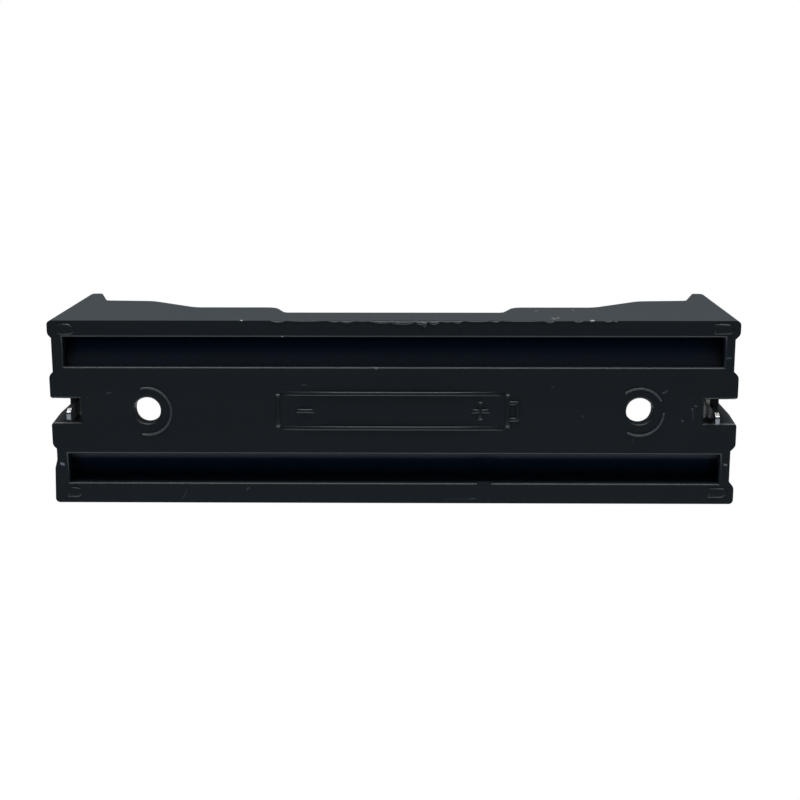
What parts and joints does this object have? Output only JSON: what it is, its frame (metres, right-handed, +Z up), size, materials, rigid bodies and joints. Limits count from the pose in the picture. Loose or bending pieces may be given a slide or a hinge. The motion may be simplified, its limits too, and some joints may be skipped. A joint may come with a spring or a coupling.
{
  "type": "cylindrical battery holder",
  "caption": "Black moulded holder for one long cylindrical cell, with a folded spring contact at each end, screw holes and solder tails.",
  "frame": {"origin": "middle between the screw holes on the underside, which lies on the board", "axes": "+X along the cell towards the end where the notch for the solder tail is deeper, +Y across the cell, +Z up out of the open side"},
  "size_m": [0.0776, 0.0212, 0.0248],
  "materials": {
    "moulded_black": "satin",
    "plated_strip": "nickel plated"
  },
  "bodies": {
    "root": {"holder_body": "moulded_black", "negative_contact": "plated_strip", "positive_contact": "plated_strip"}
  },
  "joints": []
}
